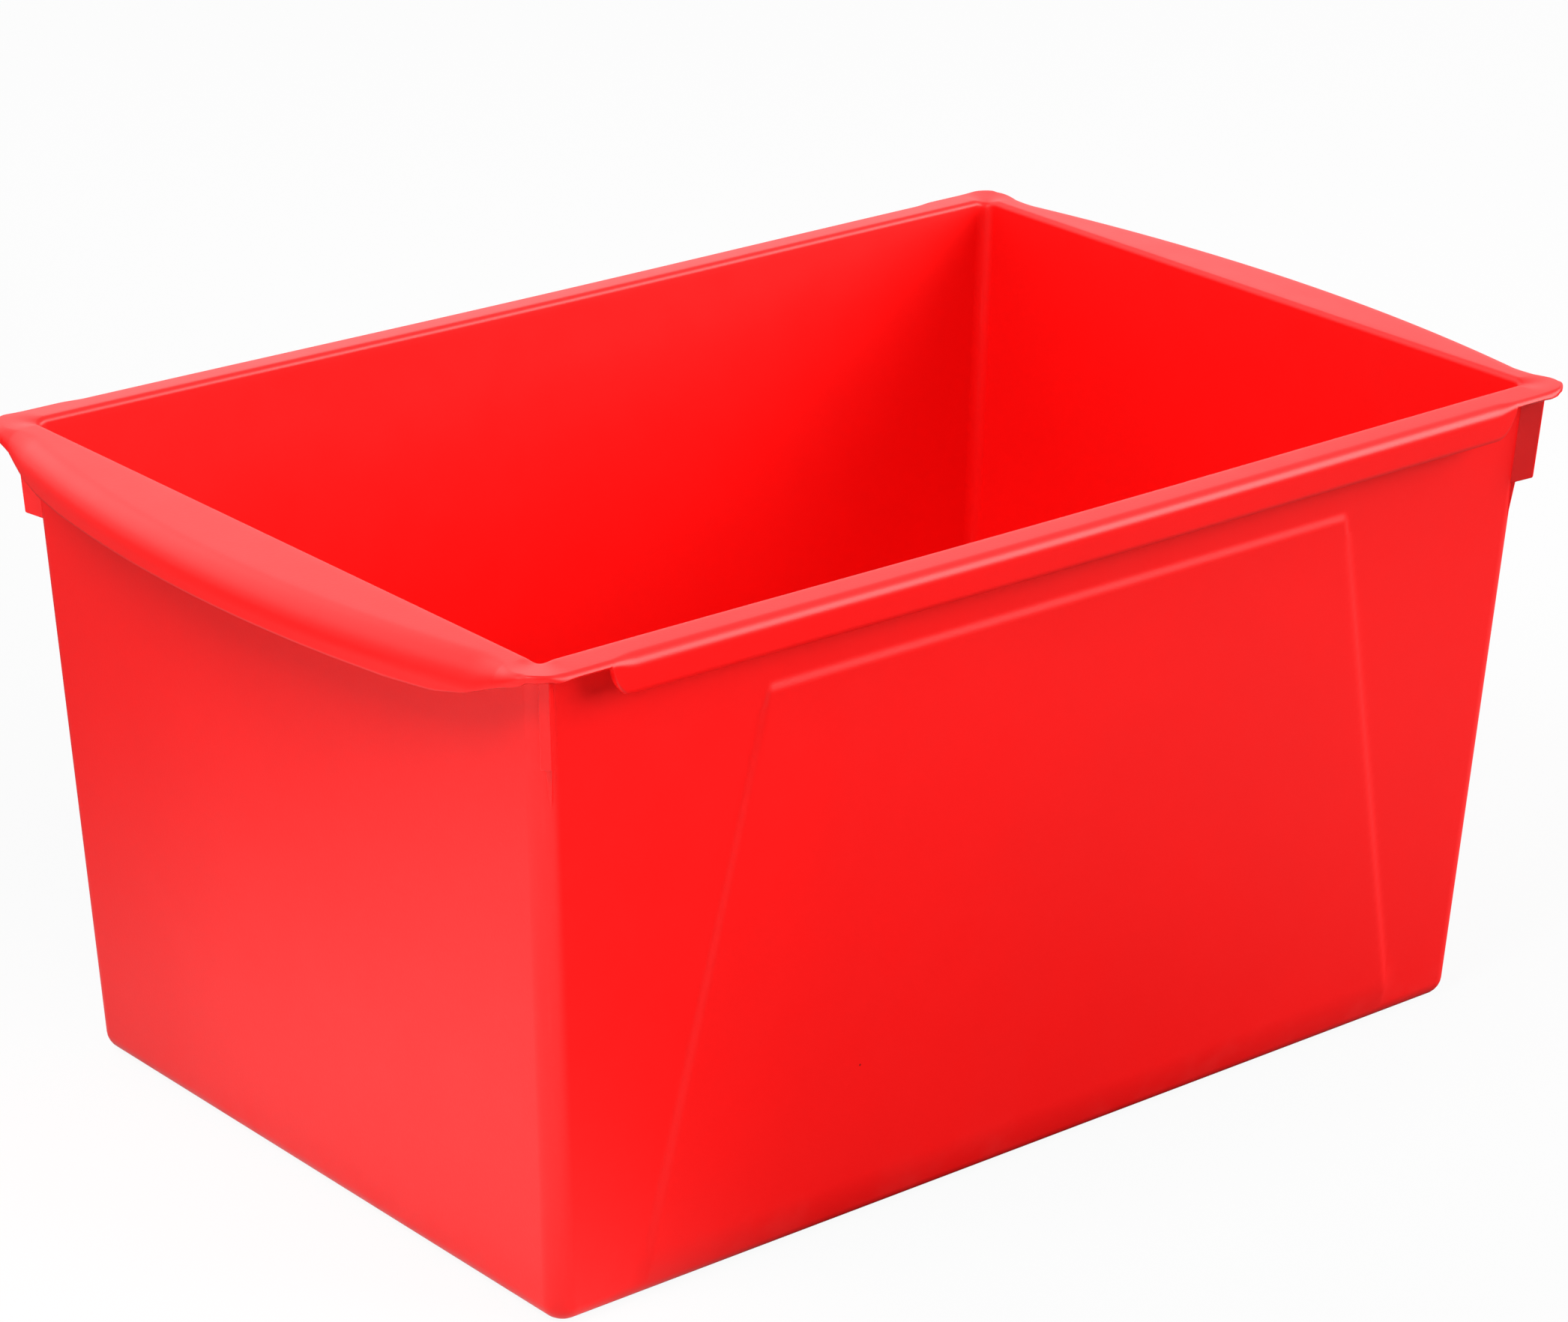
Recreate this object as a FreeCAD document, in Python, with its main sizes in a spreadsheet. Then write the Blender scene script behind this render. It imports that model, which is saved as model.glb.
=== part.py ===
"""A nesting storage bin for art supplies, moulded in one piece with a rolled rim and a bowed grip at each
end.

The bin stands on z = 0 with its length along X. Its moulding is divided where its regions meet: the floor
pan, four walls, four corners with their ribs, two skirted rims, two grips and four flat ears at the rim's
corners. Every region takes its size from the sheet, and neighbours meet face to face.
"""

import FreeCAD, Part
import math
import os

import Sketcher
from FreeCAD import Vector

DRIVING_SIZES = [
    ("bin_height", 178.0, "floor to the top of the rim"),
    ("base_length", 310.0, "outside length at the floor"),
    ("base_width", 203.0, "outside width at the floor"),
    ("mouth_length", 332.0, "outside length of the walls at the rim"),
    ("mouth_width", 218.5, "outside width of the walls at the rim"),
    ("wall", 2.0, "wall thickness"),
    ("floor_thickness", 2.4, "floor thickness over the foot ring"),
    ("pan_height", 8.0, "height of the rounded floor pan"),
    ("corner_radius", 6.0, "outside radius of the upright corners"),
    ("base_radius", 5.0, "outside radius between floor and walls"),
    ("foot_width", 14.0, "width of the ring that the bin stands on"),
    ("foot_height", 0.8, "depth of the recess inside the foot ring"),
    ("panel_top_length", 194.0, "top edge of the raised side panel"),
    ("panel_foot_length", 263.0, "bottom edge of the raised side panel"),
    ("panel_top", 155.0, "height of the panel's top edge"),
    ("panel_relief", 1.0, "how far the panel stands out of the wall"),
    ("panel_bevel", 2.4, "width of the panel's sloping border"),
    ("flange_thickness", 2.0, "thickness of the rim"),
    ("flange_width", 8.2, "how far the long rims stand out of the walls"),
    ("crest_radius", 1.6, "rounding of the rim's inner edge"),
    ("skirt_depth", 10.0, "height of the long skirts"),
    ("skirt_thickness", 1.8, "thickness of the skirts and grip lips"),
    ("skirt_length", 300.0, "length of a long skirt under the rim"),
    ("skirt_slant", 5.0, "how far each end of a skirt slopes in"),
    ("rim_edge_radius", 3.0, "rounding of the long rims' outer edge"),
    ("grip_reach", 20.5, "how far a grip stands out at its middle"),
    ("ear_reach", 8.4, "how far the rim stands out at the grips' ends"),
    ("grip_depth", 11.5, "height of a grip's lip"),
    ("grip_edge_radius", 7.0, "rounding of the grips' outer edge"),
    ("grip_slant", 20.0, "length of the slope at each end of a grip's lip"),
    ("grip_rise", 5.0, "height of the slope at each end of a grip's lip"),
    ("ear_radius", 12.0, "outside radius of the rim's corners"),
    ("rib_depth", 26.0, "height of the corner ribs under the rim"),
    ("rib_thickness", 2.8, "thickness of the corner ribs"),
    ("rib_reach", 5.0, "how far the corner ribs stand out"),
]


class Size:
    """A length together with the sheet expression that gives it."""

    def __init__(self, value, text):
        self.value = value
        self.text = text

    @staticmethod
    def of(other):
        return other if isinstance(other, Size) else Size(float(other), repr(float(other)))

    def joined(self, other, sign, value):
        return Size(value, f"({self.text} {sign} {Size.of(other).text})")

    def __add__(self, other):
        return self.joined(other, "+", self.value + Size.of(other).value)

    def __sub__(self, other):
        return self.joined(other, "-", self.value - Size.of(other).value)

    def __mul__(self, other):
        return self.joined(other, "*", self.value * Size.of(other).value)

    def __truediv__(self, other):
        return self.joined(other, "/", self.value / Size.of(other).value)

    def __neg__(self):
        return self * -1


doc = FreeCAD.newDocument("storage_bin")
sheet = doc.addObject("Spreadsheet::Sheet", "Sizes")
for row, (alias, number, note) in enumerate(DRIVING_SIZES, start=1):
    sheet.set(f"A{row}", note)
    sheet.set(f"B{row}", str(number))
    sheet.setAlias(f"B{row}", alias)
doc.recompute()


def size(alias):
    return Size(float(sheet.get(alias)), f"Sizes.{alias}")


bin_height = size("bin_height")
wall = size("wall")
corner_radius = size("corner_radius")
base_radius = size("base_radius")
pan_height = size("pan_height")
floor_thickness = size("floor_thickness")
flange_thickness = size("flange_thickness")
crest_radius = size("crest_radius")
skirt_thickness = size("skirt_thickness")
panel_bevel = size("panel_bevel")

wall_top = bin_height - flange_thickness


def half_length(height):
    """Half the outside length of the walls at a height."""
    low, high = size("base_length") / 2, size("mouth_length") / 2
    return low + (high - low) * height / bin_height


def half_width(height):
    """Half the outside width of the walls at a height."""
    low, high = size("base_width") / 2, size("mouth_width") / 2
    return low + (high - low) * height / bin_height


rim_outside = half_width(wall_top) + size("flange_width")
ear_outside = half_length(wall_top) + size("ear_reach")
grip_outside = half_length(wall_top) + size("grip_reach")
rim_half_length = half_length(wall_top) - corner_radius
grip_half_width = half_width(wall_top) - corner_radius


def bind(thing, name, length):
    """Ties one property of a document object to the sheet."""
    thing.setExpression(name, length.text)


def plane_of(body, role):
    """The origin plane of a body, such as XY_Plane."""
    return next(f for f in body.Origin.OriginFeatures if f.Role == role)


def new_body(label):
    body = doc.addObject("PartDesign::Body", label)
    body.Label = label
    return body


def arc_between(start, end, radius, turns_left):
    """The arc of under a half circle from start to end, with its centre to the left or right of that way."""
    chord = end - start
    rise = math.sqrt(max(radius**2 - (chord.Length / 2) ** 2, 0.0))
    left = Vector(-chord.y, chord.x, 0).normalize()
    centre = (start + end) / 2 + left * (rise if turns_left else -rise)
    first, last = (start, end) if turns_left else (end, start)
    angles = [math.atan2(p.y - centre.y, p.x - centre.x) for p in (first, last)]
    if angles[1] < angles[0]:
        angles[1] += 2 * math.pi
    return Part.ArcOfCircle(Part.Circle(centre, Vector(0, 0, 1), radius), *angles)


def outline(body, name, corners, role="XY_Plane", level=None):
    """A closed sketch through corners (u, v) or (u, v, radius, turns_left), with sizes tied to the sheet.

    A corner with a radius starts an arc to the next corner.
    """
    sketch = body.newObject("Sketcher::SketchObject", name)
    sketch.AttachmentSupport = (plane_of(body, role), "")
    sketch.MapMode = "FlatFace"
    if level is not None:
        bind(sketch, "AttachmentOffset.Base.z", level)
    ends = []
    for place, (u, v, *bend) in enumerate(corners):
        next_u, next_v = corners[(place + 1) % len(corners)][:2]
        start, end = Vector(u.value, v.value, 0), Vector(next_u.value, next_v.value, 0)
        if bend:
            radius, turns_left = bend
            edge = sketch.addGeometry(arc_between(start, end, radius.value, turns_left))
            ends.append((edge, 1, 2) if turns_left else (edge, 2, 1))
        else:
            edge = sketch.addGeometry(Part.LineSegment(start, end))
            ends.append((edge, 1, 2))
    for place, (edge, _, last) in enumerate(ends):
        next_edge, next_first, _ = ends[(place + 1) % len(ends)]
        sketch.addConstraint(Sketcher.Constraint("Coincident", edge, last, next_edge, next_first))
    for (edge, first, _), (u, v, *bend) in zip(ends, corners):
        ties = [("DistanceX", u), ("DistanceY", v)]
        for kind, length in ties:
            rule = Sketcher.Constraint(kind, -1, 1, edge, first, length.value)
            bind(sketch, f"Constraints[{sketch.addConstraint(rule)}]", length)
        if bend:
            rule = Sketcher.Constraint("Radius", edge, bend[0].value)
            bind(sketch, f"Constraints[{sketch.addConstraint(rule)}]", bend[0])
    return sketch


def loft(body, name, first, second, kind="PartDesign::AdditiveLoft"):
    """A straight-sided body between two outlines."""
    feature = body.newObject(kind, name)
    feature.Profile = first
    feature.Sections = [second]
    feature.Ruled = True
    doc.recompute()
    return feature


def pad(body, name, sketch, length, both_sides=False, reverse=False):
    feature = body.newObject("PartDesign::Pad", name)
    feature.Profile = sketch
    feature.Midplane = both_sides
    feature.Reversed = reverse
    bind(feature, "Length", length)
    doc.recompute()
    return feature


def pocket(body, name, sketch, length, both_sides=False, reverse=False):
    """A cut along the sketch's normal. It stops the build if it removes nothing."""
    before = body.Shape.Volume
    feature = body.newObject("PartDesign::Pocket", name)
    feature.Profile = sketch
    feature.Midplane = both_sides
    feature.Reversed = reverse
    bind(feature, "Length", length)
    doc.recompute()
    if body.Shape.Volume > before - 1e-6:
        raise RuntimeError(f"{body.Label}: {name} cuts nothing")
    return feature


def fillet(body, name, radius, chosen):
    """Rounds the edges of the body's last feature that chosen(edge's middle point) accepts."""
    base = body.Tip
    names = [
        f"Edge{number}"
        for number, edge in enumerate(base.Shape.Edges, start=1)
        if chosen(edge.valueAt((edge.FirstParameter + edge.LastParameter) / 2))
    ]
    feature = body.newObject("PartDesign::Fillet", name)
    feature.Base = (base, names)
    bind(feature, "Radius", radius)
    doc.recompute()
    return feature


def near(a, b):
    return abs(a - b) < 1e-4


def rounded_rectangle(half_x, half_y, radius):
    """Corners of a rounded rectangle about the origin, counter-clockwise."""
    across, along = half_x - radius, half_y - radius
    return [
        (-across, -half_y),
        (across, -half_y, radius, True),
        (half_x, -along),
        (half_x, along, radius, True),
        (across, half_y),
        (-across, half_y, radius, True),
        (-half_x, along),
        (-half_x, -along, radius, True),
    ]


# Floor pan: a shallow tray with rounded edges, standing on a ring round its underside


def make_floor_pan():
    body = new_body("floor_pan")
    across, along = half_length(pan_height), half_width(pan_height)
    inner_radius = corner_radius - wall
    brim = outline(body, "pan_brim", rounded_rectangle(across, along, corner_radius), level=pan_height)
    pad(body, "pan_block", brim, pan_height, reverse=True)
    fillet(body, "pan_outer_edge", base_radius, lambda p: near(p.z, 0))
    well_plan = rounded_rectangle(across - wall, along - wall, inner_radius)
    well = outline(body, "pan_well", well_plan, level=pan_height)
    pocket(body, "pan_inside", well, pan_height - floor_thickness)
    well_level = floor_thickness.value
    fillet(body, "pan_inner_edge", base_radius - wall, lambda p: near(p.z, well_level))
    ring = size("foot_width")
    recess_plan = rounded_rectangle(across - ring, along - ring, corner_radius)
    recess = outline(body, "foot_recess_outline", recess_plan)
    pocket(body, "foot_recess", recess, size("foot_height"), reverse=True)
    return body


# Walls: drafted slabs between the corners, the long ones with a shallow raised panel


def wall_section(body, name, height, side, long_wall):
    """The slab's outline at one height, on the side of the bin that side (+1 or -1) names."""
    if long_wall:
        end, outside = half_length(height) - corner_radius, half_width(height)
        face, back = outside * side, (outside - wall) * side
        corners = [(-end, face), (end, face), (end, back), (-end, back)]
    else:
        end, outside = half_width(height) - corner_radius, half_length(height)
        face, back = outside * side, (outside - wall) * side
        corners = [(face, -end), (face, end), (back, end), (back, -end)]
    return outline(body, name, corners, level=height)


def make_end_wall(label, side):
    body = new_body(label)
    low = wall_section(body, f"{label}_foot", pan_height, side, False)
    high = wall_section(body, f"{label}_head", wall_top, side, False)
    loft(body, f"{label}_slab", low, high)
    return body


def make_side_wall(label, side):
    body = new_body(label)
    low = wall_section(body, f"{label}_foot", pan_height, side, True)
    high = wall_section(body, f"{label}_head", wall_top, side, True)
    loft(body, f"{label}_slab", low, high)
    foot, top = size("panel_foot_length") / 2, size("panel_top_length") / 2
    relief, panel_top = size("panel_relief"), size("panel_top")

    def panel_section(name, height, half, rise):
        """A thin strip of panel across the wall: a border that slopes to the raised face."""
        outside = half_width(height)
        face, back = (outside + rise) * side, (outside - wall / 2) * side
        wall_face = outside * side
        rim = half - panel_bevel
        corners = [(-half, back), (half, back), (half, wall_face)]
        corners += [(rim, face), (-rim, face), (-half, wall_face)]
        return outline(body, name, corners, level=height)

    border = panel_top - panel_bevel
    border_half = top + (foot - top) * panel_bevel / (panel_top - pan_height)
    low = panel_section(f"{label}_panel_foot", pan_height, foot, relief)
    high = panel_section(f"{label}_panel_border", border, border_half, relief)
    loft(body, f"{label}_panel", low, high)
    low = panel_section(f"{label}_panel_brow", border, border_half, relief)
    high = panel_section(f"{label}_panel_edge", panel_top, top, relief / 100)
    loft(body, f"{label}_panel_top", low, high)
    return body


# Corners: quarter-round posts, each with a diagonal rib that keeps nested bins from jamming


def make_corner(label, side_x, side_y):
    body = new_body(label)
    inner_radius = corner_radius - wall
    turns_left = side_x * side_y > 0

    def post_section(name, height):
        across, along = half_length(height), half_width(height)
        corners = [
            (across * side_x, (along - corner_radius) * side_y, corner_radius, turns_left),
            ((across - corner_radius) * side_x, along * side_y),
            ((across - corner_radius) * side_x, (along - wall) * side_y, inner_radius, not turns_left),
            ((across - wall) * side_x, (along - corner_radius) * side_y),
        ]
        return outline(body, name, corners, level=height)

    def post(name, low, high):
        """A length of the post, leaning outwards with the walls."""
        feature = pad(body, name, post_section(f"{name}_outline", low), high - low)
        feature.UseCustomVector = True
        feature.AlongSketchNormal = True
        bind(feature, "Direction.x", (half_length(high) - half_length(low)) * side_x)
        bind(feature, "Direction.y", (half_width(high) - half_width(low)) * side_y)
        bind(feature, "Direction.z", high - low)
        doc.recompute()

    rib_foot = wall_top - size("rib_depth")
    post(f"{label}_lower_post", pan_height, rib_foot)
    post(f"{label}_upper_post", rib_foot, wall_top)

    diagonal = math.sqrt(0.5)

    def rib_section(name, height):
        """A strip along the corner's diagonal, from the middle of the post's wall outwards."""
        middle_x, middle_y = half_length(height) - corner_radius, half_width(height) - corner_radius
        inner, outer = corner_radius - wall / 2, corner_radius + size("rib_reach")
        half = size("rib_thickness") / 2
        corners = []
        for reach, offset in ((inner, -half), (outer, -half), (outer, half), (inner, half)):
            along_x = middle_x + (reach - offset) * diagonal
            along_y = middle_y + (reach + offset) * diagonal
            corners.append((along_x * side_x, along_y * side_y))
        return outline(body, name, corners, level=height)

    loft(
        body,
        f"{label}_rib",
        rib_section(f"{label}_rib_foot", rib_foot),
        rib_section(f"{label}_rib_head", wall_top),
    )
    return body


# Rims: flat flanges on the long walls, rolled over into a skirt whose ends slope in


def make_rim(label, side):
    body = new_body(label)
    inside, outside = half_width(wall_top) - wall, rim_outside
    edge = size("rim_edge_radius")
    hollow = edge - skirt_thickness
    skirt_foot = bin_height - size("skirt_depth")
    lining = outside - skirt_thickness
    turns_left = side < 0
    profile = [
        (inside * side, wall_top),
        (inside * side, bin_height - crest_radius, crest_radius, turns_left),
        ((inside + crest_radius) * side, bin_height),
        ((outside - edge) * side, bin_height, edge, turns_left),
        (outside * side, bin_height - edge),
        (outside * side, skirt_foot),
        (lining * side, skirt_foot),
        (lining * side, wall_top - hollow, hollow, not turns_left),
        ((lining - hollow) * side, wall_top),
    ]
    section = outline(body, f"{label}_section", profile, role="YZ_Plane")
    pad(body, f"{label}_run", section, rim_half_length * 2, both_sides=True)
    head = size("skirt_length") / 2
    foot = head - size("skirt_slant")
    for end in (-1, 1):
        corners = [
            (head * end, wall_top),
            (rim_half_length * 2 * end, wall_top),
            (rim_half_length * 2 * end, skirt_foot - flange_thickness),
            (foot * end, skirt_foot - flange_thickness),
            (foot * end, skirt_foot),
        ]
        name = f"{label}_end_{'right' if end > 0 else 'left'}"
        mark = outline(body, f"{name}_outline", corners, role="XZ_Plane")
        pocket(body, name, mark, rim_outside * 3, both_sides=True)
    return body


# Grips: wide flanges on the end walls, bowed outwards and rolled over into a lip


def make_grip(label, side):
    body = new_body(label)
    inside = half_length(wall_top) - wall
    bow = grip_outside - ear_outside
    bow_radius = (grip_half_width * grip_half_width + bow * bow) / (bow * 2)
    turns_left = side > 0
    foot = bin_height - size("grip_depth")
    plan = [
        (inside * side, -grip_half_width),
        (ear_outside * side, -grip_half_width, bow_radius, turns_left),
        (ear_outside * side, grip_half_width),
        (inside * side, grip_half_width),
    ]
    top = outline(body, f"{label}_plan", plan, level=bin_height)
    pad(body, f"{label}_block", top, size("grip_depth"), reverse=True)
    edge = size("grip_edge_radius")
    height, half = bin_height.value, grip_half_width.value
    crest = inside.value
    lining_end = ear_outside - skirt_thickness
    plan = [
        ((inside - wall) * side, -grip_half_width * 2),
        (lining_end * side, -grip_half_width * 2),
        (lining_end * side, -grip_half_width, bow_radius, turns_left),
        (lining_end * side, grip_half_width),
        (lining_end * side, grip_half_width * 2),
        ((inside - wall) * side, grip_half_width * 2),
    ]
    hollow = outline(body, f"{label}_hollow_plan", plan, level=foot)
    pocket(body, f"{label}_hollow", hollow, size("grip_depth") - flange_thickness, reverse=True)
    ceiling = wall_top.value
    fillet(
        body,
        f"{label}_hollow_edge",
        edge - skirt_thickness,
        lambda p: near(p.z, ceiling) and abs(p.x) > crest + 1 and abs(p.y) < half - 1,
    )
    fillet(
        body,
        f"{label}_rolled_edge",
        edge,
        lambda p: near(p.z, height) and abs(p.x) > crest + 1 and abs(p.y) < half - 1,
    )
    fillet(body, f"{label}_crest", crest_radius, lambda p: near(p.z, height) and near(abs(p.x), crest))
    slope_start, slope_end = grip_half_width - size("grip_slant"), foot + size("grip_rise")
    for end in (-1, 1):
        corners = [
            (grip_half_width * end, slope_end),
            (grip_half_width * 2 * end, slope_end),
            (grip_half_width * 2 * end, foot - flange_thickness),
            (slope_start * end, foot - flange_thickness),
            (slope_start * end, foot),
        ]
        name = f"{label}_end_{'back' if end > 0 else 'front'}"
        mark = outline(body, f"{name}_outline", corners, role="YZ_Plane")
        pocket(body, name, mark, grip_outside * 3, both_sides=True)
    return body


# Ears: the flat corners of the rim, with no skirt under them


def make_ear(label, side_x, side_y):
    body = new_body(label)
    ear_radius = size("ear_radius")
    inner_radius = corner_radius - wall
    turns_left = side_x * side_y > 0
    plan = [
        (ear_outside * side_x, grip_half_width * side_y),
        (ear_outside * side_x, (rim_outside - ear_radius) * side_y, ear_radius, turns_left),
        ((ear_outside - ear_radius) * side_x, rim_outside * side_y),
        (rim_half_length * side_x, rim_outside * side_y),
        (rim_half_length * side_x, (half_width(wall_top) - wall) * side_y, inner_radius, not turns_left),
        ((half_length(wall_top) - wall) * side_x, grip_half_width * side_y),
    ]
    pad(body, f"{label}_plate", outline(body, f"{label}_plan", plan, level=wall_top), flange_thickness)
    height = bin_height.value
    middle = Vector(rim_half_length.value * side_x, grip_half_width.value * side_y, height)
    inner = inner_radius.value
    fillet(body, f"{label}_crest", crest_radius, lambda p: near((p - middle).Length, inner))
    return body


regions = [make_floor_pan()]
for word, sign in (("front", -1), ("back", 1)):
    regions.append(make_side_wall(f"{word}_wall", sign))
    regions.append(make_rim(f"{word}_rim", sign))
for word, sign in (("left", -1), ("right", 1)):
    regions.append(make_end_wall(f"{word}_end_wall", sign))
    regions.append(make_grip(f"{word}_grip", sign))
for word_y, sign_y in (("front", -1), ("back", 1)):
    for word_x, sign_x in (("left", -1), ("right", 1)):
        regions.append(make_corner(f"{word_y}_{word_x}_corner", sign_x, sign_y))
        regions.append(make_ear(f"{word_y}_{word_x}_ear", sign_x, sign_y))

doc.recompute()
for thing in doc.Objects:
    if "Invalid" in thing.State or "Error" in thing.State:
        raise RuntimeError(f"{thing.Label} failed: {thing.State}")
for region in regions:
    if region.Shape.isNull() or not region.Shape.isValid() or len(region.Shape.Solids) != 1:
        raise RuntimeError(f"{region.Label} is not one sound solid")

os.makedirs("parts", exist_ok=True)
for region in regions:
    region.Shape.exportStep(os.path.join("parts", f"{region.Label}.step"))
    print(f"{region.Label}: {region.Shape.Volume / 1000:.2f} cm3")
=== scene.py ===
# %% [markdown]
# # A red storage bin for art supplies
#
# The real bin is a single piece of injection-moulded plastic: a tapered tub with a rim that rolls
# over into a skirt on the long sides and into a bowed grip at each end. The frame that is loaded here
# gives its true size. Everything below dresses that frame as one continuous skin, because a moulding
# has no seams.

import math

import bpy
import numpy as np
from mathutils import Matrix, Vector


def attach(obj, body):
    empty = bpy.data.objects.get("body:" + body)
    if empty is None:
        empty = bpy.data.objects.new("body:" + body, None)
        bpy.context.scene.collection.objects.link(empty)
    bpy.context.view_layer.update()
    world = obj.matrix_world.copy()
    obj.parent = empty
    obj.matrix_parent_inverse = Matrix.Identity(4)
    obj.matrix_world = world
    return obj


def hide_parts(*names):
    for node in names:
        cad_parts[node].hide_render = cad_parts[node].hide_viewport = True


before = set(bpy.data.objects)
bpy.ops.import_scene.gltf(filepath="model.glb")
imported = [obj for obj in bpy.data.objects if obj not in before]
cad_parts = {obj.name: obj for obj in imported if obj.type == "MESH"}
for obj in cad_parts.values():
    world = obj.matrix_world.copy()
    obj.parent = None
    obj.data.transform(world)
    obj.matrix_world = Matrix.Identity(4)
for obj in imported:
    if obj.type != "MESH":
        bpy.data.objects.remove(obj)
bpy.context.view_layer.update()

# %% [markdown]
# ## Sizes
#
# All sizes are in millimetres, as on a drawing, and the meshes are scaled to metres when they are
# made. The tub is smaller at the floor than at the rim, so that bins nest. A function of height gives
# its outline at every level.

# %% Sizes of the tub
MILLIMETRE = 0.001
HEIGHT = 178.0
BASE_HALF = np.array([155.0, 101.5])
MOUTH_HALF = np.array([166.0, 109.25])
WALL = 2.0
FLOOR_THICKNESS = 2.4
CORNER_RADIUS = 6.0
BASE_RADIUS = 5.0
FOOT_WIDTH = 14.0
FOOT_HEIGHT = 0.8
FLANGE_THICKNESS = 2.0
WALL_TOP = HEIGHT - FLANGE_THICKNESS


def half_sizes(height):
    """Half the tub's outside length and width at a height."""
    return BASE_HALF + (MOUTH_HALF - BASE_HALF) * height / HEIGHT


def smooth(low, high, value):
    """0 below low, 1 above high, and an S-shaped rise between them."""
    share = np.clip((value - low) / (high - low), 0.0, 1.0)
    return share * share * (3.0 - 2.0 * share)


print("tub at the rim", 2 * half_sizes(HEIGHT), "mm")

# %% [markdown]
# ## Stations round the tub
#
# The skin is swept: the same section is set up at many stations round the tub and joined to its
# neighbours. Each station has a share, which says where it stands between the corners, and a normal,
# which points out of the tub. With those two, one formula gives a rounded rectangle of any size. The
# stations stand closer together where a shape changes quickly: at the ends of the skirts and grips
# and over the sloping borders of the raised panel.


# %% Stations round the tub
def spread(marks, steps):
    """Places from the first mark to the last, in steps of about the length given for each stretch."""
    places = []
    for low, high, step in zip(marks, marks[1:], steps):
        count = max(1, round((high - low) / step))
        places.extend(np.linspace(low, high, count, endpoint=False))
    return np.array(places + [marks[-1]])


def mirrored(places):
    """The places, which start at 0, with their mirror images before them."""
    return np.concatenate([-places[:0:-1], places])


SIDE_MARKS, SIDE_STEPS = (0.0, 92.0, 137.0, 142.0, 153.0), (6.0, 0.7, 2.5, 0.5, 2.0)
END_MARKS, END_STEPS = (0.0, 66.0, 90.0), (3.5, 2.0, 0.8)
CORNER_STATIONS = 45
rim_half = half_sizes(WALL_TOP) - CORNER_RADIUS
side_places = mirrored(spread([*SIDE_MARKS, rim_half[0]], SIDE_STEPS)) / rim_half[0]
end_places = mirrored(spread([*END_MARKS, rim_half[1]], END_STEPS)) / rim_half[1]

shares, normals = [], []
for places, turn in ((side_places, -90), (end_places, 0), (side_places, 90), (end_places, 180)):
    facing = np.array([math.cos(math.radians(turn)), math.sin(math.radians(turn))]).round(6)
    along = np.array([-facing[1], facing[0]])
    for place in places:
        shares.append(facing + along * place)
        normals.append(facing)
    for step in range(1, CORNER_STATIONS):
        angle = math.radians(turn + 90.0 * step / CORNER_STATIONS)
        shares.append(facing + along)
        normals.append([math.cos(angle), math.sin(angle)])
shares, normals = np.array(shares), np.array(normals)
print("stations", len(shares))


def ring(half, radius):
    """A rounded rectangle with those half sizes, one point for each station."""
    return shares * (half - radius) + normals * radius


def wall_ring(height, inset=0.0):
    """The tub's outline at a height, moved in by inset."""
    return ring(half_sizes(height) - inset, max(CORNER_RADIUS - inset, 1.0))


def level(points, height):
    """Points in plan lifted to a height, which may differ from station to station."""
    return np.column_stack([points, np.broadcast_to(height, len(points))])


# %% [markdown]
# ## The rim
#
# On the long sides the rim is a narrow flange with a skirt. At the ends it is a wide grip that bows
# outwards, with a softer roll and a deeper lip. The skirts and lips run out towards the corners,
# where only the flat flange is left. On the diagonal the flange thins out and its edge arches up. So
# four things change round the rim: how far it stands out, how deep it hangs, how thick it is and how
# tight its roll is.

# %% Outline of the rim
RIM_OUTSIDE = 117.3
EAR_OUTSIDE = 174.2
GRIP_OUTSIDE = 186.3
EAR_RADIUS = 11.0
ARCH_RISES, ARCH_FALLS = (33.0, 41.0), (56.0, 74.0)
NEARLY_ZERO = 1e-9
bow = GRIP_OUTSIDE - EAR_OUTSIDE
bow_radius = (rim_half[1] ** 2 + bow**2) / (2 * bow)


def reach_of(share, normal):
    """How far the rim stands out of the wall at a station."""
    start = np.abs(share) * rim_half
    heading = np.abs(normal)
    if heading[0] == 1.0:
        bowed = GRIP_OUTSIDE - bow_radius + math.sqrt(bow_radius**2 - start[1] ** 2)
        return bowed - rim_half[0] - CORNER_RADIUS
    to_side = (RIM_OUTSIDE - start[1]) / heading[1]
    if (start + heading * to_side)[0] <= EAR_OUTSIDE - EAR_RADIUS:
        return to_side - CORNER_RADIUS
    to_end = (EAR_OUTSIDE - start[0]) / max(heading[0], NEARLY_ZERO)
    if (start + heading * to_end)[1] <= RIM_OUTSIDE - EAR_RADIUS:
        return to_end - CORNER_RADIUS
    lead = start - np.array([EAR_OUTSIDE, RIM_OUTSIDE]) + EAR_RADIUS
    along = lead @ heading
    return -along + math.sqrt(along**2 - lead @ lead + EAR_RADIUS**2) - CORNER_RADIUS


reach = np.array([reach_of(share, normal) for share, normal in zip(shares, normals)])
outer_edge = np.abs(ring(half_sizes(WALL_TOP), CORNER_RADIUS) + normals * reach[:, None])
from_end = np.degrees(np.arctan2(np.abs(normals[:, 1]), np.abs(normals[:, 0])))
arch = smooth(*ARCH_RISES, from_end) * (1.0 - smooth(*ARCH_FALLS, from_end))
lift = np.sin(np.radians(2.0 * from_end)) ** 2
print("rim stands out", reach.min().round(1), "to", reach.max().round(1), "mm")

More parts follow.
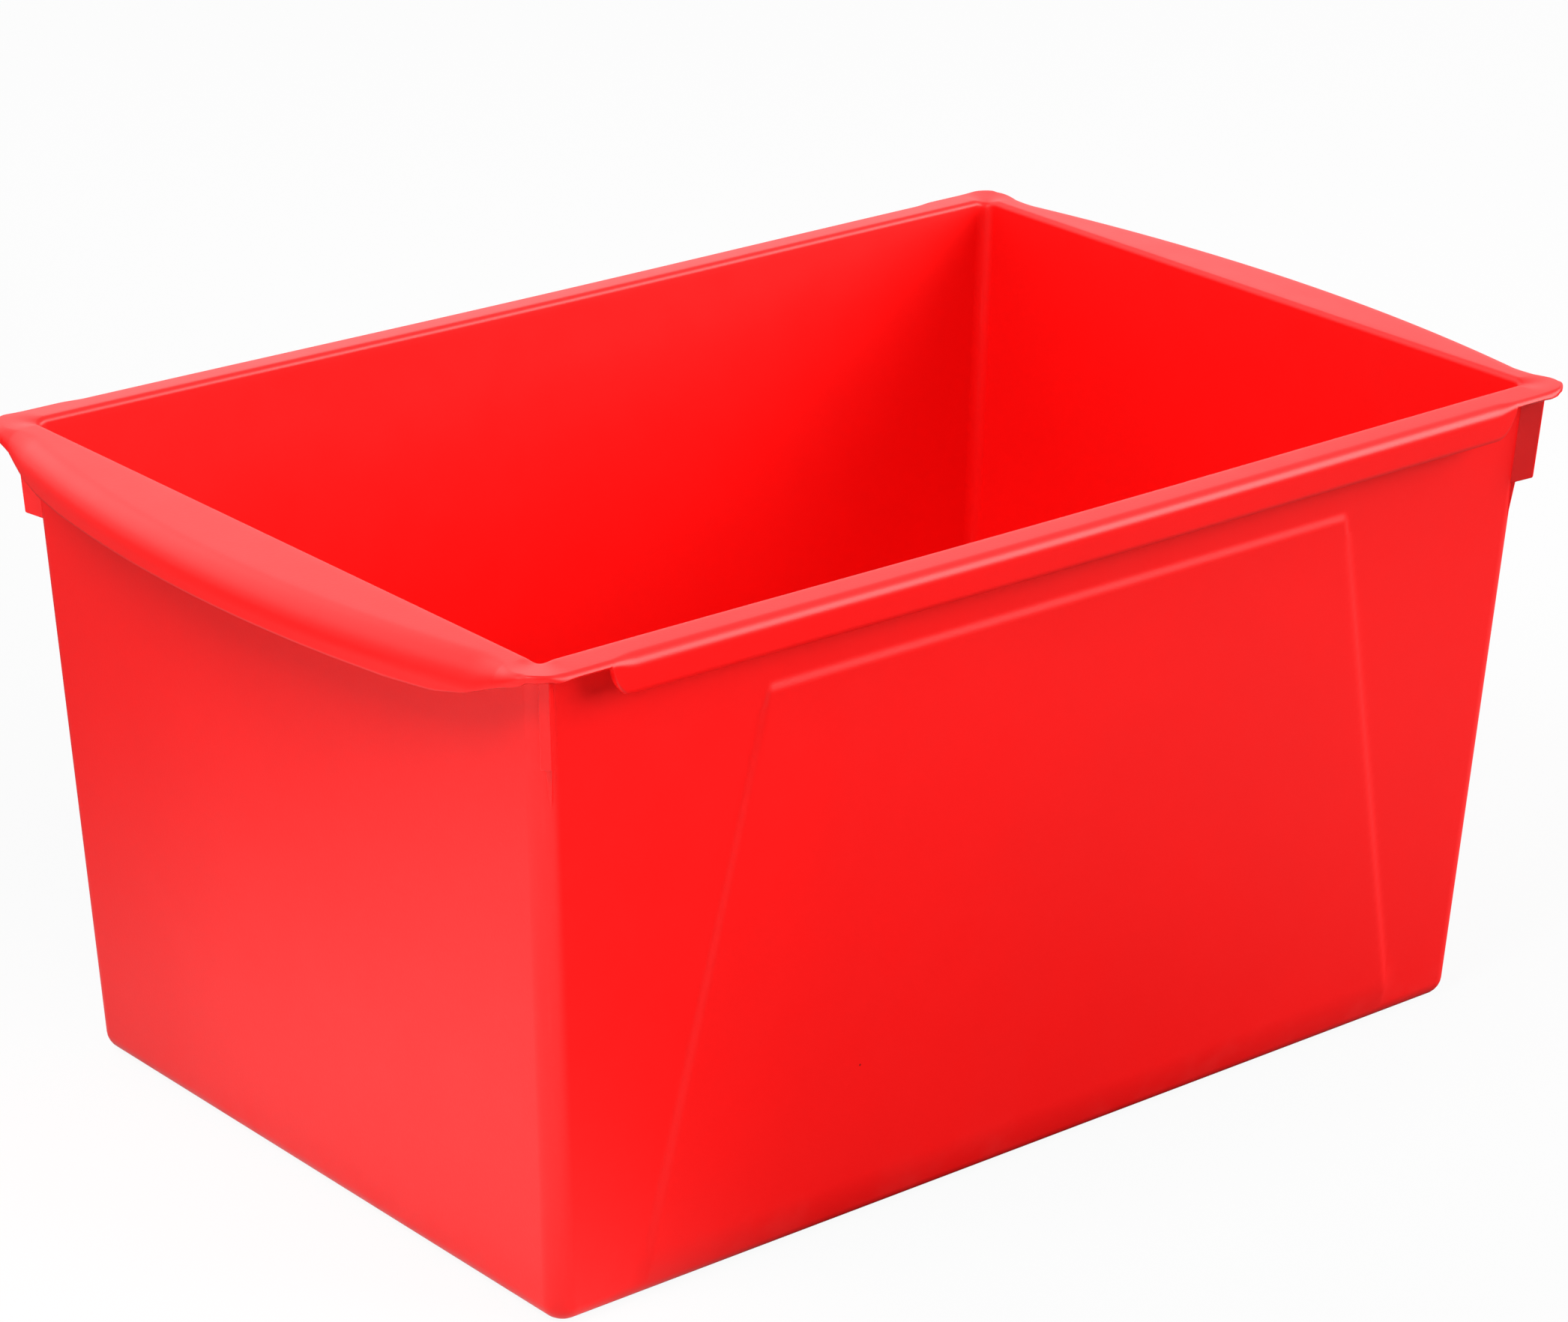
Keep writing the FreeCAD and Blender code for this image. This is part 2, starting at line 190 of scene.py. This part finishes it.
# %% Depth and roll of the rim
SKIRT_DEPTH = 10.0
GRIP_DEPTH = 11.5
SIDE_SAG = 0.5
EAR_THICKNESS, ARCH_THICKNESS = 1.4, 0.7
RIM_ROLL, GRIP_ROLL, EAR_ROLL, ARCH_ROLL = 3.0, 7.0, 1.7, 0.8
FLANGE_SLOPE, ARCH_SLOPE = 0.05, -0.09
ARCH_SAG = 1.0
FULL_THICKNESS_SHARE = 0.4

SKIRT_FADES = (143.0, 150.6)
SKIRT_END, SKIRT_END_LENGTH, SKIRT_END_POWER = 143.4, 7.0, 2.8
GRIP_FADES = (94.0, 112.0)
LIP_STARTS = (70.0, 85.0, 94.0, 105.0, 110.0, 113.0)
LIP_SHARES = (1.0, 0.93, 0.737, 0.30, 0.12, 0.0)

skirt = 1.0 - smooth(*SKIRT_FADES, outer_edge[:, 0])
past_skirt = np.clip((outer_edge[:, 0] - SKIRT_END) / SKIRT_END_LENGTH, 0.0, 1.0)
skirt_drop = 1.0 - past_skirt**SKIRT_END_POWER
grip = (1.0 - smooth(*GRIP_FADES, outer_edge[:, 1])) * (1.0 - arch)
grip_drop = np.interp(outer_edge[:, 1], LIP_STARTS, LIP_SHARES) * (1.0 - arch)
lip_drop = np.maximum(skirt_drop, grip_drop)
filled = smooth(0.0, FULL_THICKNESS_SHARE, lip_drop)
thickness = EAR_THICKNESS + (FLANGE_THICKNESS - EAR_THICKNESS) * filled
thickness += (ARCH_THICKNESS - thickness) * arch
lip_depth = thickness + (SKIRT_DEPTH - FLANGE_THICKNESS) * skirt_drop
lip_depth += (GRIP_DEPTH - FLANGE_THICKNESS) * grip_drop
roll = EAR_ROLL + (RIM_ROLL - EAR_ROLL) * skirt + (GRIP_ROLL - EAR_ROLL) * grip
roll += (ARCH_ROLL - roll) * arch
slope = FLANGE_SLOPE + (ARCH_SLOPE - FLANGE_SLOPE) * lift
on_side = np.abs(normals[:, 1]) == 1.0
side_sag = SIDE_SAG * on_side * np.cos(shares[:, 0] * math.pi / 2) ** 2
crest_height = HEIGHT - side_sag - ARCH_SAG * lift
print("lip depth", lip_depth.min().round(1), "to", lip_depth.max().round(1), "mm")

# %% [markdown]
# ## Section of the rim
#
# At each station the rim is drawn as a bent strip: flat on top, round over the roll, then straight
# down to the edge of the lip. The underside is the same strip moved in by the thickness, so the
# plastic has an even wall.

# %% Section of the rim
TOP_POINTS, ROLL_POINTS, LIP_POINTS = 6, 10, 5
CREST_RADIUS = 1.6
ROOT_RADIUS, ROOT_SHARE = 2.0, 0.5
SHORTEST_LIP = 0.25
LIP_TILT = math.radians(5.0)
root = np.clip(ROOT_SHARE * (reach - roll), 0.0, ROOT_RADIUS)


def strip(station, start, depth):
    """(distance out of the wall, height) along the rim's strip, from start to the lip's edge."""
    radius, top = roll[station], crest_height[station]
    bend = reach[station] - radius
    bend_height = top - slope[station] * (bend + WALL)
    drop = bend_height - (top - lip_depth[station])
    turn = math.acos(max(-math.sin(LIP_TILT), 1.0 - drop / radius))
    points, facings = [], []
    for out in np.linspace(start, bend, TOP_POINTS, endpoint=False):
        points.append([out, top - slope[station] * (out + WALL)])
        facings.append([slope[station], 1.0])
    for angle in np.linspace(0.0, turn, ROLL_POINTS):
        points.append([bend + radius * math.sin(angle), bend_height - radius * (1.0 - math.cos(angle))])
        facings.append([math.sin(angle), math.cos(angle)])
    roll_end = np.array(points[-1])
    length = max(drop - radius * (1.0 - math.cos(turn)), SHORTEST_LIP)
    along = np.array([math.cos(turn), -math.sin(turn)])
    for share in np.linspace(0.0, 1.0, LIP_POINTS + 1)[1:]:
        points.append(roll_end + share * length * along)
        facings.append([math.sin(turn), math.cos(turn)])
    return np.array(points) - depth * np.array(facings)


stations = range(len(shares))
upper_strip = np.array([strip(s, CREST_RADIUS - WALL, 0.0) for s in stations])
lower_strip = np.array([strip(s, root[s], thickness[s]) for s in stations])
rim_ring = ring(half_sizes(WALL_TOP), CORNER_RADIUS)


def strip_row(points):
    """One point of every station's strip, placed round the rim."""
    return level(rim_ring + normals * points[:, :1], points[:, 1])


print("points in a strip", upper_strip.shape[1])

# %% [markdown]
# ## The raised panel
#
# Each long wall carries a shallow panel, narrow at the top and wide at the foot, with soft borders
# that catch the light. It stiffens the wall. It is a real step in the mesh, less than a millimetre
# high.

# %% The raised panel
PANEL_TOP = 157.0
PANEL_TOP_HALF, PANEL_FOOT_HALF = 97.3, 132.0
PANEL_RELIEF = 0.9
PANEL_BEVEL, PANEL_TOP_BEVEL = 2.0, 3.4
PANEL_TOP_SHARE, PANEL_GROWTH = 0.7, 40.0
panel_lean = (PANEL_FOOT_HALF - PANEL_TOP_HALF) / PANEL_TOP


def panel_rise(across, height):
    """How far the panel stands out of the wall at a point."""
    to_border = PANEL_FOOT_HALF - panel_lean * height - np.abs(across)
    to_top = PANEL_TOP - height
    inside = smooth(0.0, PANEL_BEVEL, to_border) * smooth(0.0, PANEL_TOP_BEVEL, to_top)
    growth = PANEL_TOP_SHARE + (1.0 - PANEL_TOP_SHARE) * smooth(0.0, PANEL_GROWTH, to_top)
    return PANEL_RELIEF * inside * growth * smooth(0.0, BASE_RADIUS, height)


# %% [markdown]
# ## The skin
#
# The rows of the skin run once round the bin, from the middle of the underside, up the outside, along
# the underside of the rim, round the lip, back over the top and down the inside to the middle of the
# floor. Joining each row to the next gives one closed surface with real thickness.

# %% Rows of the skin
FOOT_STEPS = ((1.6, 1.0), (0.6, 0.9), (0.0, 0.0))
BASE_ARC, SMALL_ARC = 8, 6
WALL_MARKS, WALL_STEPS = (150.0, 160.0), (4.0, 0.5, 3.0)
ROOT_ROOM = 0.5
LIP_EDGE_DROP = 0.35
INSIDE_ROOM, INSIDE_STEP = 2.0, 12.0
rows = []


def arc(steps):
    """Angles over a quarter turn."""
    return np.linspace(0.0, math.pi / 2, steps)


for beyond, rise in FOOT_STEPS:
    rows.append(level(wall_ring(0.0, FOOT_WIDTH + beyond), FOOT_HEIGHT * rise))
for angle in arc(BASE_ARC):
    height = BASE_RADIUS * (1.0 - math.cos(angle))
    rows.append(level(wall_ring(height, BASE_RADIUS * (1.0 - math.sin(angle))), height))
root_height = WALL_TOP - ROOT_RADIUS - ROOT_ROOM
for height in spread([BASE_RADIUS, *WALL_MARKS, root_height], WALL_STEPS)[1:]:
    points = wall_ring(height)
    points += normals * (on_side * panel_rise(points[:, 0], height))[:, None]
    rows.append(level(points, height))
for angle in arc(SMALL_ARC)[1:-1]:
    out = root * (1.0 - math.cos(angle))
    lowest = lower_strip[:, 0, 1] - root * (1.0 - math.sin(angle))
    rows.append(level(rim_ring + normals * out[:, None], lowest))
rows.extend(strip_row(lower_strip[:, k]) for k in range(lower_strip.shape[1]))
lip_edge = (lower_strip[:, -1] + upper_strip[:, -1]) / 2
lip_edge[:, 1] -= LIP_EDGE_DROP
rows.append(strip_row(lip_edge))
rows.extend(strip_row(upper_strip[:, k]) for k in reversed(range(upper_strip.shape[1])))
for angle in arc(SMALL_ARC)[1:]:
    out = CREST_RADIUS * (1.0 - math.sin(angle)) - WALL
    fall = slope * CREST_RADIUS + CREST_RADIUS * (1.0 - math.cos(angle))
    rows.append(level(rim_ring + normals * out, crest_height - fall))
inside_marks = [FLOOR_THICKNESS + BASE_RADIUS - WALL, WALL_TOP - INSIDE_ROOM]
for height in spread(inside_marks, [INSIDE_STEP])[::-1]:
    rows.append(level(wall_ring(height, WALL), height))
inner_radius = BASE_RADIUS - WALL
for angle in arc(SMALL_ARC)[::-1][1:]:
    height = FLOOR_THICKNESS + inner_radius * (1.0 - math.cos(angle))
    rows.append(level(wall_ring(height, WALL + inner_radius * (1.0 - math.sin(angle))), height))
print("rows in the skin", len(rows))

# %% Join the rows
EVEN_SHADING = 80
count = len(shares)
vertices = np.concatenate(rows) * MILLIMETRE
faces = []
for row in range(len(rows) - 1):
    for station in range(count):
        following = (station + 1) % count
        low, high = row * count, (row + 1) * count
        faces.append((low + station, low + following, high + following, high + station))
faces.append(tuple(range(count))[::-1])
faces.append(tuple(range((len(rows) - 1) * count, len(rows) * count)))


def piece(name, points, polygons):
    """A smooth-shaded mesh object."""
    mesh = bpy.data.meshes.new(name)
    mesh.from_pydata([tuple(map(float, p)) for p in points], [], polygons)
    mesh.shade_smooth()
    made = bpy.data.objects.new(name, mesh)
    bpy.context.scene.collection.objects.link(made)
    return made


moulding = piece("moulding", vertices, faces)
weighted = moulding.modifiers.new("even_shading", "WEIGHTED_NORMAL")
weighted.weight = EVEN_SHADING
print("skin faces", len(faces))

# %% [markdown]
# ## Corner ribs
#
# Under each corner of the rim a small rib stands out on the diagonal. When bins are nested, the ribs
# rest on the rim of the bin below and keep the two from jamming. A rib is a thin plate with rounded
# edges, sunk a little into the corner so that it looks grown out of it.

# %% Corner ribs
RIB_FOOT, RIB_FOOT_RISE = 150.3, 2.0
RIB_THICKNESS = 2.8
RIB_REACH = 5.0
RIB_SHIFT = 1.8
RIB_ROOT, RIB_HEAD_ROOM = -1.2, 0.1
RIB_EDGE_RADIUS, RIB_EDGE_SEGMENTS = 0.5, 3
RIB_TAIL, TAIL_OVERLAP = 11.0, 1.0
TAIL_TIP_REACH, TAIL_TOP_REACH = -0.4, 0.5
TAIL_TIP_THICKNESS, TAIL_TOP_SHARE = 0.8, 0.7


def corner_rib(name, side):
    """A rib and its thin tail, on the corner that side, such as (-1, 1), points to."""
    diagonal = np.array(side) * math.sqrt(0.5)
    sideways = np.array([-diagonal[0], diagonal[1]])
    turned = -side[0] * side[1]
    points, polygons = [], []
    plate_foot = (RIB_FOOT, RIB_REACH, RIB_THICKNESS, RIB_FOOT_RISE)
    plate_head = (WALL_TOP - RIB_HEAD_ROOM, RIB_REACH, RIB_THICKNESS, 0.0)
    tail_tip = (RIB_FOOT - RIB_TAIL, TAIL_TIP_REACH, TAIL_TIP_THICKNESS, 0.0)
    tail_top = (RIB_FOOT + TAIL_OVERLAP, TAIL_TOP_REACH, RIB_THICKNESS * TAIL_TOP_SHARE, 0.0)
    for ends in ((plate_foot, plate_head), (tail_tip, tail_top)):
        first = len(points)
        for height, reach_out, width, rise in ends:
            middle = np.array(side) * (half_sizes(height) - CORNER_RADIUS)
            for out, edge in ((RIB_ROOT, -1), (reach_out, -1), (reach_out, 1), (RIB_ROOT, 1)):
                shift = RIB_SHIFT + edge * turned * width / 2
                plan = middle + diagonal * (CORNER_RADIUS + out) + sideways * shift
                points.append([*plan, height + (rise if out == reach_out else 0.0)])
        sides = [(k, (k + 1) % 4, 4 + (k + 1) % 4, 4 + k) for k in range(4)]
        polygons += [tuple(first + k for k in face) for face in [(3, 2, 1, 0), (4, 5, 6, 7), *sides]]
    rib = piece(name, np.array(points) * MILLIMETRE, polygons)
    rounded = rib.modifiers.new("rounded_edges", "BEVEL")
    rounded.width = RIB_EDGE_RADIUS * MILLIMETRE
    rounded.segments = RIB_EDGE_SEGMENTS
    rounded.harden_normals = True
    return rib


ribs = []
for word_y, y in (("front", -1), ("back", 1)):
    for word_x, x in (("left", -1), ("right", 1)):
        ribs.append(corner_rib(f"{word_y}_{word_x}_rib", (x, y)))
print("ribs", [rib.name for rib in ribs])

# %% [markdown]
# ## Red plastic
#
# The bin is moulded in red polypropylene with a fine satin grain. The colour is nearly even: a slow
# mottling, a few dark specks and paler scuffs near the foot and along the rim are all that shows. The
# class below lets the maths of the masks be written as plain Python, and every operator adds the node
# that does the sum.


# %% Shader maths
class Shade:
    """A value in a material's node tree."""

    def __init__(self, tree, socket=None):
        self.tree = tree
        self.socket = socket

    def node(self, kind, settings=None, sockets=None, output=0):
        """Adds a node, sets it up, feeds its sockets and gives back one of its outputs."""
        made = self.tree.nodes.new(kind)
        for name, value in (settings or {}).items():
            setattr(made, name, value)
        for name, value in (sockets or {}).items():
            if isinstance(value, Shade):
                self.tree.links.new(value.socket, made.inputs[name])
            else:
                made.inputs[name].default_value = value
        return Shade(self.tree, made.outputs[output])

    def math(self, operation, first, second):
        return self.node("ShaderNodeMath", {"operation": operation}, {0: first, 1: second})

    def __add__(self, other):
        return self.math("ADD", self, other)

    def __sub__(self, other):
        return self.math("SUBTRACT", self, other)

    def __rsub__(self, other):
        return self.math("SUBTRACT", other, self)

    def __mul__(self, other):
        return self.math("MULTIPLY", self, other)

    __radd__ = __add__
    __rmul__ = __mul__

    def rise(self, low, high):
        """0 where the value is below low, 1 above high."""
        smooth_step = {"interpolation_type": "SMOOTHSTEP"}
        return self.node("ShaderNodeMapRange", smooth_step, {0: self, 1: low, 2: high})

    def noise(self, place, size, detail=2.0):
        """A cloudy pattern with patches of about that size in metres."""
        sockets = {"Vector": place, "Scale": 1.0 / size, "Detail": detail}
        return self.node("ShaderNodeTexNoise", {}, sockets)


# %% Red plastic
RED = (0.92, 0.0042, 0.0042, 1.0)
DEEP_RED = (0.84, 0.0030, 0.0032, 1.0)
SCUFFED_RED = (0.88, 0.022, 0.020, 1.0)
SPECK = (0.16, 0.004, 0.004, 1.0)
MOTTLE_SIZE, PATCH_SIZE = 0.05, 0.012
GRAIN_SIZE, FINE_GRAIN_SIZE = 0.0009, 0.0004
GRAIN_STRENGTH, GRAIN_HEIGHT = 0.25, 0.00012
SHARP_EDGES = (0.51, 0.60)
FOOT_HEIGHTS = (0.002, 0.016)
SPECK_SCALE, SPECK_EDGE = 55.0, (0.012, 0.022)
SPECK_REGION, SPECK_REGION_SHARE = 0.02, (0.60, 0.64)
MOTTLE_RANGE, MOTTLE_SHARE = (0.30, 0.70), 0.35
SCUFF_RANGE, SCUFF_SHARE = (0.45, 0.70), 0.35
FOOT_SCUFF, EDGE_SCUFF = 0.7, 0.5
SPECK_SHARE = 0.8
ROUGHNESS, MOTTLE_ROUGHNESS, PATCH_ROUGHNESS, SCUFF_ROUGHNESS = 0.33, 0.06, 0.05, 0.12
GRAIN_SHARE, FINE_GRAIN_SHARE = 0.6, 0.4
PLASTIC_IOR, SPECULAR_LEVEL = 1.49, 0.36


def red_plastic():
    """The bin's one material."""
    made = bpy.data.materials.new("red_plastic")
    made.use_nodes = True
    tree = made.node_tree
    shader = tree.nodes["Principled BSDF"]
    start = Shade(tree)
    place = start.node("ShaderNodeTexCoord", output="Object")
    height = start.node("ShaderNodeSeparateXYZ", {}, {0: place}, "Z")
    mottle = start.noise(place, MOTTLE_SIZE, 3.0)
    grain = start.noise(place, GRAIN_SIZE)
    fine_grain = start.noise(place, FINE_GRAIN_SIZE, 1.0)
    patches = start.noise(place, PATCH_SIZE, 4.0)
    edge = start.node("ShaderNodeNewGeometry", output="Pointiness").rise(*SHARP_EDGES)
    foot = 1 - height.rise(*FOOT_HEIGHTS)
    scuff = (foot * FOOT_SCUFF + edge * EDGE_SCUFF) * patches.rise(*SCUFF_RANGE)
    cells = {"Vector": place, "Scale": SPECK_SCALE}
    specks = start.node("ShaderNodeTexVoronoi", {}, cells, "Distance")
    rare = start.noise(place, SPECK_REGION, 0.0).rise(*SPECK_REGION_SHARE)
    speck = (1 - specks.rise(*SPECK_EDGE)) * rare

    def mixed(share, first, second):
        return start.node("ShaderNodeMix", {"data_type": "RGBA"}, {0: share, 6: first, 7: second}, 2)

    colour = mixed(mottle.rise(*MOTTLE_RANGE) * MOTTLE_SHARE, RED, DEEP_RED)
    colour = mixed(scuff * SCUFF_SHARE, colour, SCUFFED_RED)
    colour = mixed(speck * SPECK_SHARE, colour, SPECK)
    roughness = ROUGHNESS + mottle * MOTTLE_ROUGHNESS + patches * PATCH_ROUGHNESS
    roughness += scuff * SCUFF_ROUGHNESS
    relief = grain * GRAIN_SHARE + fine_grain * FINE_GRAIN_SHARE
    grained = {"Strength": GRAIN_STRENGTH, "Distance": GRAIN_HEIGHT, "Height": relief}
    bump = start.node("ShaderNodeBump", {}, grained)
    for name, value in (("Base Color", colour), ("Roughness", roughness), ("Normal", bump)):
        tree.links.new(value.socket, shader.inputs[name])
    shader.inputs["IOR"].default_value = PLASTIC_IOR
    shader.inputs["Specular IOR Level"].default_value = SPECULAR_LEVEL
    return made


plastic = red_plastic()
for part in [moulding, *ribs]:
    part.data.materials.append(plastic)
    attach(part, "root")
corners = [f"{y}_{x}" for y in ("front", "back") for x in ("left", "right")]
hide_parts("floor_pan", "front_wall", "back_wall", "left_end_wall", "right_end_wall")
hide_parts("front_rim", "back_rim", "left_grip", "right_grip", *[f"{c}_ear" for c in corners])
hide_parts(*[f"{c}_corner" for c in corners])
print("nodes in the plastic", len(plastic.node_tree.nodes))

# %% [markdown]
# ## Floor, light and camera
#
# A pale floor fills the view as white with a faint shadow on it, and the sky closes the view above
# it. A dark sheet lies in front of the bin as painted shade on the floor: the camera doesn't see it
# and lamps shine through it, but reflections and bounced light meet it. It fades out towards the left
# and the far right. So the long side mirrors this painted shade and looks deep red, while the end
# wall mirrors the pale floor. Two lamps stand on the left, one of them low to lighten the shadow
# under the grip, one in front on the right, two behind and one above, and the sky fills the rest. The
# camera stands where the photograph was taken from: above the near left corner, with a long lens.

# %% Floor
WHITE = (1.0, 1.0, 1.0, 1.0)
PALE = (0.90, 0.90, 0.90, 1.0)
# The dark tone below is painted shade on the floor in front of the bin, seen only in reflections and
# bounced light.
FLOOR_SHADE_DARK = (0.04, 0.04, 0.04, 1.0)
SHADOW_DEPTH = 0.08
SHEET_HALF = 4.0
SHADE_SHEET_LIFT = 0.0001
LEFT_FADE, LEFT_FAR_FADE, LEFT_FAR_SHARE = (-0.20, -0.06), (0.0, 0.32), 0.8
RIGHT_FADE, RIGHT_NEAR_FADE, RIGHT_SHARE = (0.03, 0.30), (-0.45, -0.28), 0.3


def seen_rays(start):
    """1 for a ray that shows the surroundings: to the camera, in a reflection or through glass."""
    to_camera = start.node("ShaderNodeLightPath", output="Is Camera Ray")
    to_gloss = start.node("ShaderNodeLightPath", output="Is Glossy Ray")
    to_glass = start.node("ShaderNodeLightPath", output="Is Transmission Ray")
    return to_camera + to_gloss + to_glass


def pale_floor():
    """White to the camera and in reflections, with a share of the real, lit floor for the shadow."""
    made = bpy.data.materials.new("pale_floor")
    made.use_nodes = True
    tree = made.node_tree
    tree.nodes.clear()
    start = Shade(tree)
    pale = start.node("ShaderNodeBsdfDiffuse", {}, {"Color": PALE})
    white = start.node("ShaderNodeEmission", {}, {"Color": WHITE, "Strength": 1.0})
    shaded_white = start.node("ShaderNodeMixShader", {}, {0: SHADOW_DEPTH, 1: white, 2: pale})
    both = start.node("ShaderNodeMixShader", {}, {0: seen_rays(start), 1: pale, 2: shaded_white})
    tree.links.new(both.socket, tree.nodes.new("ShaderNodeOutputMaterial").inputs["Surface"])
    return made


def painted_floor_shade():
    """Painted shade on the floor: dark in front of the bin and clear towards the left and the far
    right.
    """
    made = bpy.data.materials.new("painted_floor_shade")
    made.use_nodes = True
    tree = made.node_tree
    tree.nodes.clear()
    start = Shade(tree)
    place = start.node("ShaderNodeTexCoord", output="Object")
    across = start.node("ShaderNodeSeparateXYZ", {}, {0: place}, "X")
    away = start.node("ShaderNodeSeparateXYZ", {}, {0: place}, "Y")
    left_gap = (1 - across.rise(*LEFT_FADE)) * (1 - LEFT_FAR_SHARE * away.rise(*LEFT_FAR_FADE))
    right_gap = across.rise(*RIGHT_FADE) * away.rise(*RIGHT_NEAR_FADE)
    gap = left_gap + RIGHT_SHARE * right_gap
    shade_tone = start.node("ShaderNodeBsdfDiffuse", {}, {"Color": FLOOR_SHADE_DARK})
    clear = start.node("ShaderNodeBsdfTransparent", {}, {"Color": WHITE})
    shade_sheet = start.node("ShaderNodeMixShader", {}, {0: gap, 1: shade_tone, 2: clear})
    tree.links.new(shade_sheet.socket, tree.nodes.new("ShaderNodeOutputMaterial").inputs["Surface"])
    return made


def sheet(name, height, material):
    """A wide flat sheet that isn't part of the bin."""
    signs = ((-1, -1), (1, -1), (1, 1), (-1, 1))
    made = piece(name, [(x * SHEET_HALF, y * SHEET_HALF, height) for x, y in signs], [(0, 1, 2, 3)])
    made.data.materials.append(material)
    return made


sheet("floor", 0.0, pale_floor())
# A dark sheet, hidden from the camera and from the lamps' shadows, paints shade on the floor in front
# for the long side to mirror.
shade_sheet = sheet("shade_sheet", SHADE_SHEET_LIFT, painted_floor_shade())
shade_sheet.visible_camera = False
shade_sheet.visible_shadow = False


# %% Lights
def soft_lamp(name, place, target, size, power):
    """A rectangular lamp turned to a target, with its size in metres and its power in watts."""
    lamp = bpy.data.lights.new(name, "AREA")
    lamp.shape = "RECTANGLE"
    lamp.size, lamp.size_y = size
    lamp.energy = power
    made = bpy.data.objects.new(name, lamp)
    made.location = place
    made.rotation_euler = (Vector(target) - Vector(place)).to_track_quat("-Z", "Y").to_euler()
    bpy.context.scene.collection.objects.link(made)
    return made


soft_lamp("left_softbox", (-1.15, -0.2, 1.45), (-0.1, 0.0, 0.08), (0.9, 0.7), 17.0)
soft_lamp("low_left_softbox", (-1.6, -0.5, 0.3), (-0.17, 0.0, 0.1), (1.2, 0.4), 2.6)
soft_lamp("front_softbox", (1.6, -1.6, 1.0), (0.0, -0.1, 0.08), (2.3, 1.4), 72.0)
soft_lamp("back_softbox", (0.4, 1.8, 0.9), (0.0, 0.0, 0.15), (2.8, 1.2), 4.0)
soft_lamp("high_back_softbox", (-0.7, 1.5, 1.4), (0.0, 0.0, 0.1), (2.4, 1.6), 13.0)
soft_lamp("top_softbox", (0.8, -0.5, 1.9), (0.0, 0.0, 0.1), (2.0, 2.0), 4.0)

SKY_STRENGTH = 0.36

sky = bpy.data.worlds.new("studio")
bpy.context.scene.world = sky
sky.use_nodes = True
sky.node_tree.nodes.clear()
air = Shade(sky.node_tree)
soft_sky = air.node("ShaderNodeBackground", {}, {"Color": WHITE, "Strength": SKY_STRENGTH})
white_sky = air.node("ShaderNodeBackground", {}, {"Color": WHITE, "Strength": 1.0})
whole_sky = air.node("ShaderNodeMixShader", {}, {0: seen_rays(air), 1: soft_sky, 2: white_sky})
sky_output = sky.node_tree.nodes.new("ShaderNodeOutputWorld")
sky.node_tree.links.new(whole_sky.socket, sky_output.inputs["Surface"])
bpy.context.scene.view_settings.view_transform = "Standard"

# %% Camera
CAMERA_PLACE = Vector((-0.8306, -0.9903, 0.6135))
AZIMUTH, ELEVATION, ROLL = (math.radians(a) for a in (-39.941, 21.478, 0.692))
LENS, SENSOR_WIDTH = 119.94, 36.0

lens = bpy.data.cameras.new("camera")
lens.sensor_fit = "HORIZONTAL"
lens.sensor_width = SENSOR_WIDTH
lens.lens = LENS
camera = bpy.data.objects.new("camera", lens)
aside, away = math.sin(AZIMUTH), -math.cos(AZIMUTH)
back = Vector((aside * math.cos(ELEVATION), away * math.cos(ELEVATION), math.sin(ELEVATION)))
level_right = (-back).cross(Vector((0, 0, 1))).normalized()
level_up = level_right.cross(-back)
right = level_right * math.cos(ROLL) + level_up * math.sin(ROLL)
up = level_up * math.cos(ROLL) - level_right * math.sin(ROLL)
camera.matrix_world = Matrix.Translation(CAMERA_PLACE) @ Matrix((right, up, back)).transposed().to_4x4()
bpy.context.scene.collection.objects.link(camera)
bpy.context.scene.camera = camera
print("camera at", tuple(round(v, 3) for v in CAMERA_PLACE))
